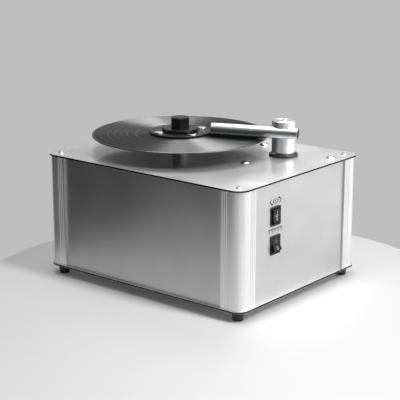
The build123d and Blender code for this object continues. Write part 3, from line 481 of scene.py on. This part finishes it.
def press(name, pieces, solid, ink, body):
    """Joins the shapes and presses them back along X onto a solid."""
    mark = merge(name, pieces)
    bpy.ops.object.modifier_add(type="SHRINKWRAP")
    wrap = mark.modifiers[-1]
    wrap.target = nodes[solid]
    wrap.wrap_method = "PROJECT"
    wrap.use_project_x, wrap.use_project_y, wrap.use_project_z = True, False, False
    wrap.use_negative_direction, wrap.use_positive_direction = True, False
    wrap.offset = ink_lift
    bpy.ops.object.modifier_apply(modifier=wrap.name)
    spread = [vertex.co.x for vertex in mark.data.vertices]
    print(name, "x from", round(min(spread), 5), "to", round(max(spread), 5))
    return settle(mark, ink, body, smooth=0)


# %% The signs over the two switches
motor_low, motor_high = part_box("motor_switch_body")
vacuum_low, vacuum_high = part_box("vacuum_switch_body")
switch_y = (motor_low.y + motor_high.y) / 2
turn_z = motor_high.z + 0.0085
turning = [arc(switch_y, turn_z, radius=0.0064, width=0.0019, start=0, sweep=360, squash=0.5),
           dot(switch_y, turn_z, radius=0.0015)]
for side, start in ((1, -62), (-1, 118)):
    turning += [arc(switch_y, turn_z, radius=0.0142, width=0.0022, start=start, sweep=110,
                    squash=0.38),
                dot(switch_y + side * 0.0094, turn_z + side * 0.004, radius=0.003, sides=3,
                    turn=90 + side * 100)]
press("turning_sign", turning, "right_panel", ink_black, "case")

suction_z = (motor_low.z + vacuum_high.z) / 2
arrow_pitch = 0.008
suction = [strip(switch_y, suction_z + 0.0029, width=0.038, height=0.0016)]
for step in (-2, -1, 0, 1, 2):
    arrow_y = switch_y + step * arrow_pitch
    suction += [strip(arrow_y, suction_z - 0.0019, width=0.0015, height=0.0034),
                dot(arrow_y, suction_z + 0.0001, radius=0.0024, sides=3)]
press("suction_sign", suction, "right_panel", ink_black, "case")

# %% Marks on the rockers
motor_z = (motor_low.z + motor_high.z) / 2
motor_line = {"width": 0.001, "height": 0.0036}
motor_marks = [strip(switch_y, motor_z + 0.0066, **motor_line),
               arc(switch_y, motor_z + 0.0006, radius=0.0022, width=0.001, start=0, sweep=360)]
motor_marks += [strip(switch_y + side * 0.0013, motor_z - 0.0053, **motor_line) for side in (-1, 1)]
press("motor_rocker_marks", motor_marks, "motor_rocker", ink_white, "motor_switch_rocker")
vacuum_z = (vacuum_low.z + vacuum_high.z) / 2
vacuum_marks = [strip(switch_y, vacuum_z + 0.0062, width=0.0008, height=0.0048),
                arc(switch_y, vacuum_z - 0.0046, radius=0.0021, width=0.0007, start=0, sweep=360)]
press("vacuum_rocker_marks", vacuum_marks, "vacuum_rocker", ink_white, "vacuum_switch_rocker")

# %% [markdown]
# ## Velvet and seal
# The pads under the tube are velvet, so their plain solids give way to pads with rounded lower
# edges and a short pile. Poking every face of a fine mesh lifts its middle into a tuft. The seal
# round the clamp is soft rubber: one round section, pressed a little flat, is spun about the
# spindle.

# %% Velvet
velvet = new_finish("black_velvet", (0.008, 0.008, 0.009), 0.9,
                    Sheen_Weight=0.6, Sheen_Roughness=0.4)
shades(velvet, noise(velvet, 350.0), (0.005, 0.005, 0.006), (0.013, 0.013, 0.014))
pile = 0.0002
tuft_rows = 170
lower_round = 0.0006
near = 0.0001


def measure_strips():
    """The strips' heading, the way across it, and each strip's corners along, across and up."""
    mesh = nodes["velvet_strips"].data
    ends = [[mesh.vertices[i].co for i in edge.vertices] for edge in mesh.edges]
    longest = max(ends, key=lambda pair: (pair[1] - pair[0]).length)
    heading = (longest[1] - longest[0]).normalized()
    side = Vector((-heading.y, heading.x, 0))
    points = [(v.co.dot(heading), v.co.dot(side), v.co.z) for v in mesh.vertices]
    middle = (min(p[1] for p in points) + max(p[1] for p in points)) / 2
    strips = [[p for p in points if p[1] < middle], [p for p in points if p[1] > middle]]
    return heading, side, strips


def pick_lengthwise(pad, length, lower_only):
    """Selects the long edges of a pad, or only the lower ones."""
    pick_none()
    for edge in pad.data.edges:
        first, second = (pad.data.vertices[i].co for i in edge.vertices)
        is_long = abs(first.x - second.x) > length / 2
        edge.select = is_long and (first.z < 0 or not lower_only)
    bpy.ops.object.mode_set(mode="EDIT")


def velvet_pad(points, heading, side, inner):
    """One pad: a block whose inner top edge lies lower, as the tube's round does, with pile."""
    (along_low, side_low, low), (along_high, side_high, high) = (
        [pick(p[i] for p in points) for i in range(3)] for pick in (min, max))
    inner_side = side_low if inner < 0 else side_high
    inner_top = max(p[2] for p in points if abs(p[1] - inner_side) < near)
    size = (along_high - along_low - 2 * pile, side_high - side_low - 2 * pile, high - low - pile)
    centre = heading * (along_low + along_high) / 2 + side * (side_low + side_high) / 2
    deselect()
    bpy.ops.mesh.primitive_cube_add(size=1, location=(0, 0, 0))
    pad = bpy.context.object
    pad.scale = size
    freeze()
    pick_none()
    for vertex in pad.data.vertices:
        vertex.select = vertex.co.z > 0 and vertex.co.y * inner > 0
    bpy.ops.object.mode_set(mode="EDIT")
    bpy.ops.transform.translate(value=(0, 0, inner_top - high))
    pick_lengthwise(pad, size[0], lower_only=True)
    bpy.ops.mesh.select_mode(type="EDGE")
    bpy.ops.mesh.bevel(offset=lower_round, segments=4)
    pick_lengthwise(pad, size[0], lower_only=False)
    bpy.ops.mesh.subdivide(number_cuts=tuft_rows)
    bpy.ops.mesh.select_all(action="SELECT")
    bpy.ops.mesh.poke(offset=pile)
    bpy.ops.object.mode_set(mode="OBJECT")
    pad.location = (centre.x, centre.y, (low + high + pile) / 2)
    pad.rotation_euler = (0, 0, math.atan2(heading.y, heading.x))
    return pad


heading, side, strips = measure_strips()
pads = merge("velvet_pads", [velvet_pad(points, heading, side, inner)
                             for points, inner in zip(strips, (1, -1))])
settle(pads, velvet, "arm", smooth=0)
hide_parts("velvet_strips")

# %% Seal
seal_rubber = moulding("seal_rubber", (0.01, 0.01, 0.011), (0.02, 0.02, 0.021), 0.5, 1800.0)
section_points = 24
seal_steps = 144
seal_low, seal_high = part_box("clamp_seal")
seal_centre = (seal_low + seal_high) / 2
seal_outer = (seal_high.x - seal_low.x) / 2
inner_radius = min(math.hypot(v.co.x - seal_centre.x, v.co.y - seal_centre.y)
                   for v in nodes["clamp_seal"].data.vertices)
seal_width = seal_outer - inner_radius
seal_height = seal_high.z - seal_low.z
section_centre = seal_centre + Vector(((seal_outer + inner_radius) / 2, 0, 0))
deselect()
bpy.ops.mesh.primitive_circle_add(vertices=section_points, radius=0.5, location=section_centre,
                                  rotation=(math.radians(90), 0, 0))
seal = bpy.context.object
seal.name = "seal_ring"
seal.scale = (seal_width, seal_height, 1)
freeze()
bpy.ops.object.mode_set(mode="EDIT")
bpy.ops.mesh.select_all(action="SELECT")
bpy.ops.mesh.spin(steps=seal_steps, angle=math.radians(360), center=seal_centre, axis=(0, 0, 1))
bpy.ops.mesh.select_all(action="SELECT")
bpy.ops.mesh.remove_doubles(threshold=weld)
bpy.ops.mesh.normals_make_consistent(inside=False)
bpy.ops.object.mode_set(mode="OBJECT")
settle(seal, seal_rubber, "clamp")
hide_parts("clamp_seal")

# %% [markdown]
# ## Table, room and light
# The machine stands on a white table, round at the far end, in a grey room. Bare metal shows
# whatever is round it, so the room matters as much as the lamps. Two narrow lamps stand to the
# right, so that the shadow falls to the left and the front keeps a sharp dark line under the case,
# and a wide soft lamp overhead fills the table in front. Dark cards on the left darken the far end
# of the front panel and of the deck, a bright one lights the side panel, and two soft boxes
# overhead draw the bright wedges on the record.

# %% Table
table_radius = 0.41
table_thickness = 0.02
table_centre = (0.068, -0.052)
near_half_moved = 0.6
towards_viewer = Vector((0.63, -0.776, 0))
table_white = new_finish("painted_table", (0.82, 0.82, 0.82), 0.5)
shades(table_white, noise(table_white, 3.0), (0.81, 0.81, 0.81), (0.83, 0.83, 0.83))
relief(table_white, noise(table_white, 400.0), 0.00002, 0.2)
deselect()
bpy.ops.mesh.primitive_cylinder_add(vertices=180, radius=table_radius, depth=table_thickness,
                                    location=(*table_centre, -table_thickness / 2))
table = bpy.context.object
table.name = "table"
bpy.ops.object.mode_set(mode="EDIT")
bpy.ops.mesh.select_all(action="SELECT")
bpy.ops.mesh.bevel(offset=0.002, segments=3)
pick_none()
for vertex in table.data.vertices:
    vertex.select = vertex.co.dot(towards_viewer) > 0.05
bpy.ops.object.mode_set(mode="EDIT")
bpy.ops.transform.translate(value=towards_viewer * near_half_moved)
bpy.ops.object.mode_set(mode="OBJECT")
freeze()
bpy.ops.object.shade_smooth_by_angle(angle=math.radians(30))
table.data.materials.append(table_white)

# %% Cards that only the metal sees
def face(item, look_at, front):
    """Turns one axis of an object, its front, towards a point."""
    item.rotation_mode = "QUATERNION"
    item.rotation_quaternion = (Vector(look_at) - item.location).to_track_quat(front, "Y")


def card(name, location, look_at, width, height, strength):
    """A bright or dark card that shows in reflections alone."""
    material = bpy.data.materials.new(name)
    material.use_nodes = True
    material.node_tree.nodes.clear()
    glow = node(material, "ShaderNodeEmission", Color=(1, 1, 1, 1), Strength=strength)
    out = node(material, "ShaderNodeOutputMaterial")
    join(material, glow.outputs["Emission"], out.inputs["Surface"])
    deselect()
    bpy.ops.mesh.primitive_plane_add(size=1, location=location)
    plane = bpy.context.object
    plane.name = name
    plane.scale = (width, height, 1)
    face(plane, look_at, "Z")
    plane.data.materials.append(material)
    plane.visible_camera = plane.visible_diffuse = plane.visible_shadow = False


card("dark_room_left", (-3.4, -2.5, -0.4), (0, 0, -0.4), 5.6, 4.8, 0.006)
card("dark_room_front", (0.7, -3.1, 0.4), (0, 0, 0.4), 3.0, 3.0, 0.05)
card("bright_wall_right", (2.0, 2.0, -0.5), (0.2, 0, -0.5), 3.4, 3.0, 1.25)
card("skylight", (-0.6, 1.3, 2.9), (0, 0, 0.2), 1.7, 1.1, 13.0)
card("dark_corner", (-3.1, 1.3, 0.7), (0, 0, 0.2), 2.4, 2.2, 0.18)
card("softbox_right", (1.64, 0.91, 2.08), (0, 0, 0.2), 2.0, 1.2, 12.0)

# %% Lamps
def soft_lamp(name, location, look_at, width, height, power):
    """An area lamp that faces a point."""
    bpy.ops.object.light_add(type="AREA", location=location)
    lamp = bpy.context.object
    lamp.name = name
    lamp.data.shape = "RECTANGLE"
    lamp.data.size, lamp.data.size_y = width, height
    lamp.data.energy = power
    face(lamp, look_at, "-Z")


soft_lamp("key_right", (2.3, 0.1, 3.0), (0, 0, 0.15), 0.45, 1.2, 66)
soft_lamp("window_right", (2.9, 0.2, 1.1), (0, 0, 0.1), 0.8, 1.2, 13)
soft_lamp("ceiling_front", (0.1, -0.6, 3.3), (0, 0, 0), 1.4, 1.4, 36)

# %% Room
# The wall's grey is what the camera and the metal see; the fill is the light it sheds.
wall_grey = (0.515, 0.515, 0.515, 1)
fill_grey = (0.2, 0.2, 0.2, 1)
world = bpy.data.worlds.new("grey_room")
bpy.context.scene.world = world
world.use_nodes = True
world.node_tree.nodes.clear()
path = node(world, "ShaderNodeLightPath")
seen = math_node(world, "MAXIMUM", path.outputs["Is Camera Ray"], path.outputs["Is Glossy Ray"])
seen = math_node(world, "MAXIMUM", seen, path.outputs["Is Transmission Ray"])
fill = node(world, "ShaderNodeBackground", Color=fill_grey)
wall = node(world, "ShaderNodeBackground", Color=wall_grey)
mix = node(world, "ShaderNodeMixShader")
join(world, seen, mix.inputs["Fac"])
join(world, fill.outputs["Background"], mix.inputs[1])
join(world, wall.outputs["Background"], mix.inputs[2])
out = node(world, "ShaderNodeOutputWorld")
join(world, mix.outputs["Shader"], out.inputs["Surface"])
